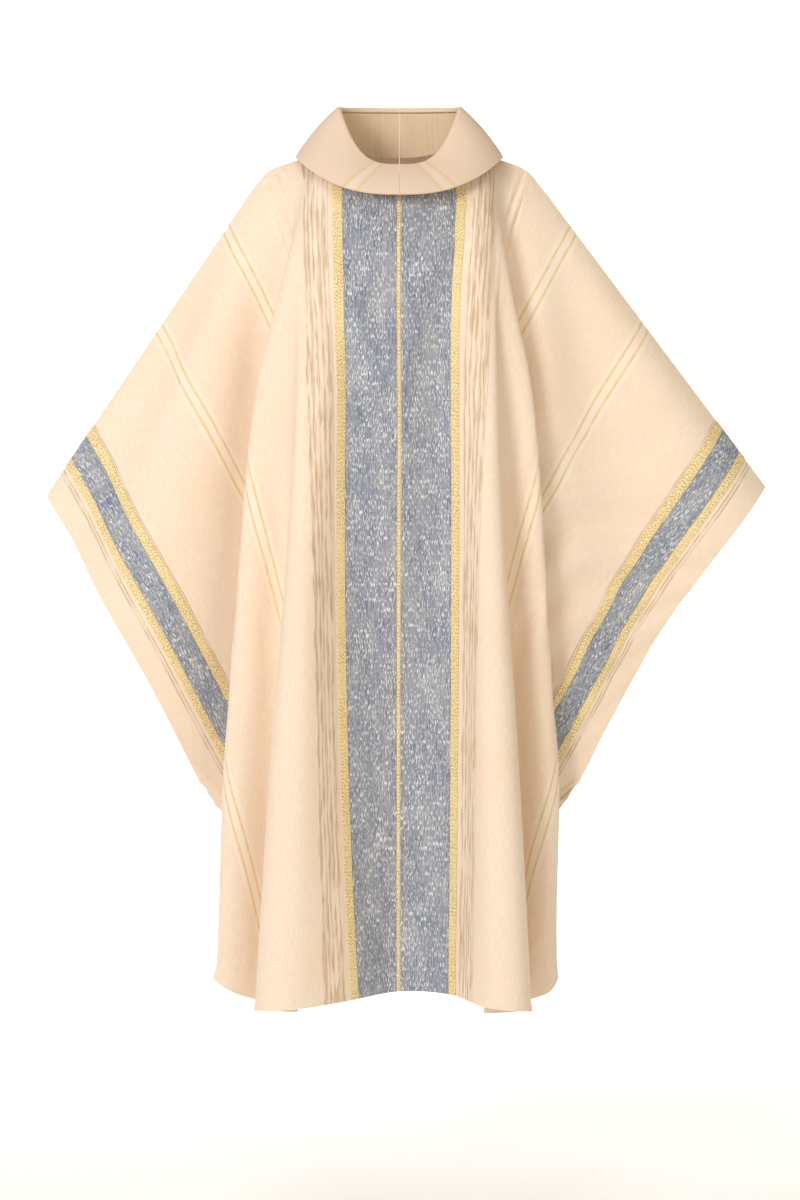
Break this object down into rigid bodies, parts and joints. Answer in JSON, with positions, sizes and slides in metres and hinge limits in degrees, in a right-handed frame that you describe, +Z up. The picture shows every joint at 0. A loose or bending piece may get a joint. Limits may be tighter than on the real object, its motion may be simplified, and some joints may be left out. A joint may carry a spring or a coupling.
{
  "type": "chasuble",
  "caption": "Full-cut church vestment with a turned-down cowl collar, a banded centre panel front and back, banded sleeve edges, and arms that lift.",
  "frame": {"origin": "on the centre line between the wearer's shoulders, at the height of the front of the collar's rim, where the garment hangs on the wearer", "axes": "+Z up, the front of the garment faces -Y, +X is the wearer's left"},
  "size_m": [1.0966, 0.4993, 1.4112],
  "materials": {
    "cream_cloth": "matt woven wool mix with paired golden stripes",
    "blue_band": "grey-blue weave with pale vertical flecks",
    "gold_braid": "herringbone metallic-thread braid, satin",
    "ikat_band": "cream weave with irregular grey-brown warp stripes",
    "collar_cloth": "matt woven wool mix",
    "lining": "matt plain weave"
  },
  "bodies": {
    "body": {"back_centre_braid": "gold_braid", "back_orphrey_blue_left": "blue_band", "back_orphrey_blue_right": "blue_band", "back_orphrey_braid_left": "gold_braid", "back_orphrey_braid_right": "gold_braid", "back_orphrey_ikat_left": "ikat_band", "back_orphrey_ikat_right": "ikat_band", "back_panel_left": "cream_cloth", "back_panel_right": "cream_cloth", "collar_flap_left": "collar_cloth", "collar_flap_right": "collar_cloth", "collar_interlining_left": "lining", "collar_interlining_right": "lining", "collar_stand_left": "lining", "collar_stand_right": "lining", "front_centre_braid": "gold_braid", "front_orphrey_blue_left": "blue_band", "front_orphrey_blue_right": "blue_band", "front_orphrey_braid_left": "gold_braid", "front_orphrey_braid_right": "gold_braid", "front_orphrey_ikat_left": "ikat_band", "front_orphrey_ikat_right": "ikat_band", "front_panel_left": "cream_cloth", "front_panel_right": "cream_cloth", "neck_tape_left": "lining", "neck_tape_right": "lining"},
    "left_sleeve": {"back_sleeve_blue_left": "blue_band", "back_sleeve_inner_braid_left": "gold_braid", "back_sleeve_outer_braid_left": "gold_braid", "back_wing_left": "cream_cloth", "front_sleeve_blue_left": "blue_band", "front_sleeve_inner_braid_left": "gold_braid", "front_sleeve_outer_braid_left": "gold_braid", "front_wing_left": "cream_cloth"},
    "right_sleeve": {"back_sleeve_blue_right": "blue_band", "back_sleeve_inner_braid_right": "gold_braid", "back_sleeve_outer_braid_right": "gold_braid", "back_wing_right": "cream_cloth", "front_sleeve_blue_right": "blue_band", "front_sleeve_inner_braid_right": "gold_braid", "front_sleeve_outer_braid_right": "gold_braid", "front_wing_right": "cream_cloth"}
  },
  "joints": [
    {"name": "left_sleeve_lift", "type": "hinge", "parent": "body", "child": "left_sleeve", "pos_m": [0.2011, 0, -0.0173], "axis": [0, -1, 0], "range_deg": [0, 27]},
    {"name": "right_sleeve_lift", "type": "hinge", "parent": "body", "child": "right_sleeve", "pos_m": [-0.2011, 0, -0.0173], "axis": [0, 1, 0], "range_deg": [0, 27]}
  ]
}
